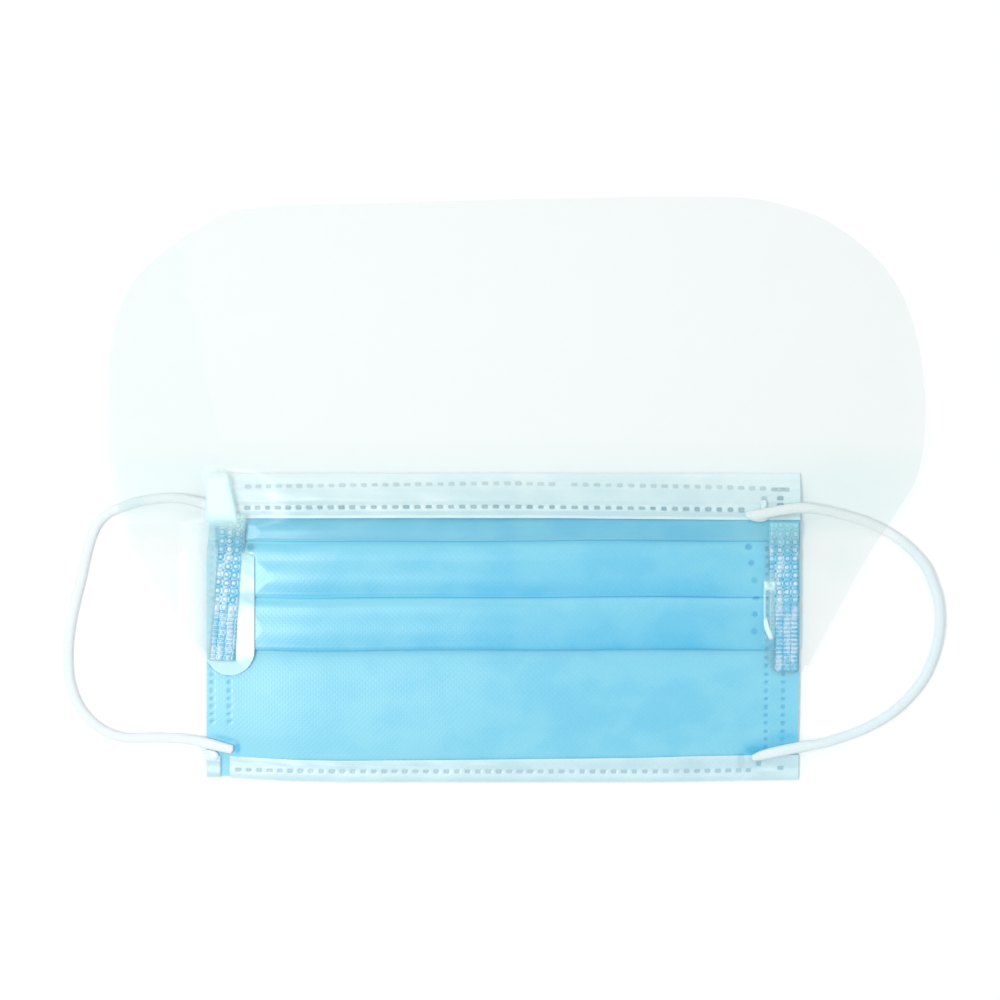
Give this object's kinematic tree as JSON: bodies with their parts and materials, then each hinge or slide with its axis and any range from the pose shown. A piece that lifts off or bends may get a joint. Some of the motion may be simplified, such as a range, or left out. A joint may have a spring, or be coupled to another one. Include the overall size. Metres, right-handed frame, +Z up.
{
  "type": "face mask with visor",
  "caption": "Pleated disposable face mask lying flat, with a clear film visor welded to its sides, a nose wire in the top hem and a round elastic ear loop on each side.",
  "frame": {"origin": "on the surface that the mask lies on, under the middle of the box round the mask and its film, without the ear loops", "axes": "+X along the pleats, to the right as seen from above; +Y towards the nose edge and the top of the film; +Z up, out of the mask's front"},
  "size_m": [0.2611, 0.1732, 0.0057],
  "materials": {
    "pleated_cloth": "matte light blue nonwoven with fine embossed dots, white on its inner side",
    "white_hem": "matte white nonwoven with rows of small weld marks",
    "coated_wire": "white coated flat wire",
    "clear_film": "clear glossy film, knurled where it is welded",
    "white_elastic": "soft round knitted elastic"
  },
  "bodies": {
    "root": {"mask_body": "pleated_cloth", "top_binding": "white_hem", "bottom_binding": "white_hem", "nose_wire": "coated_wire", "visor_film": "clear_film", "ear_loop_left": "white_elastic", "ear_loop_right": "white_elastic"}
  },
  "joints": []
}
